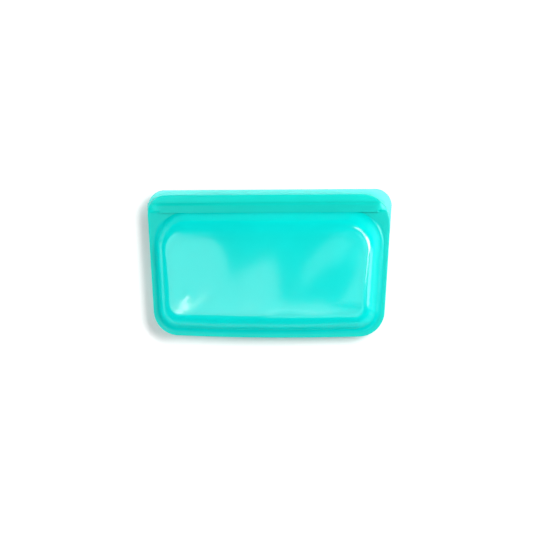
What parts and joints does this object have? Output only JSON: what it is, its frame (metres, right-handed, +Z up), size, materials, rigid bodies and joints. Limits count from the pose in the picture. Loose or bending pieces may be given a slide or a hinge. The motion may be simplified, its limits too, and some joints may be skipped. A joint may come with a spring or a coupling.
{
  "type": "reusable silicone food bag",
  "caption": "Small reusable silicone food bag, puffed and lying flat, with a bonded rim, a press-together rib and channel closure and a pull lip on each half.",
  "frame": {"origin": "middle of the bag's outline on the surface that its rear wall lies on", "axes": "+X along the mouth, to the right as seen from the front; +Y from the bottom edge to the mouth; +Z up, out of the front wall"},
  "size_m": [0.1904, 0.1142, 0.0245],
  "materials": {
    "front_silicone": "translucent aqua silicone, satin moulded surface",
    "rear_silicone": "translucent aqua silicone, satin moulded surface",
    "seal_silicone": "thicker translucent aqua silicone, smooth",
    "bond_silicone": "cured aqua silicone seam"
  },
  "bodies": {
    "bag": {"rear_wall": "rear_silicone", "rear_border": "rear_silicone", "front_side_wall": "front_silicone", "front_border": "front_silicone", "perimeter_bond": "bond_silicone", "end_block_left": "bond_silicone", "end_block_right": "bond_silicone"},
    "front_crown": {"front_panel": "front_silicone"},
    "front_mouth": {"front_shoulder": "front_silicone", "front_closure_band": "seal_silicone", "locking_rib": "seal_silicone", "front_lip": "front_silicone"},
    "rear_mouth": {"rear_shoulder": "rear_silicone", "rear_closure_band": "seal_silicone", "channel_rail_inner": "seal_silicone", "channel_rail_outer": "seal_silicone", "rear_lip": "rear_silicone"}
  },
  "joints": [
    {"name": "front_mouth_open", "type": "hinge", "parent": "bag", "child": "front_mouth", "pos_m": [0, 0.02239, 0.0245], "axis": [1, 0, 0], "range_deg": [0, 60], "stiffness_Nm_per_rad": 0.02, "springref_deg": -2.86},
    {"name": "rear_mouth_open", "type": "hinge", "parent": "bag", "child": "rear_mouth", "pos_m": [0, 0.02239, 0], "axis": [-1, 0, 0], "range_deg": [0, 13], "stiffness_Nm_per_rad": 0.1, "springref_deg": -2.86},
    {"name": "front_wall_press", "type": "slide", "parent": "bag", "child": "front_crown", "axis": [0, 0, 1], "range_m": [-0.01, 0], "stiffness_N_per_m": 150, "springref_m": 0.002}
  ]
}
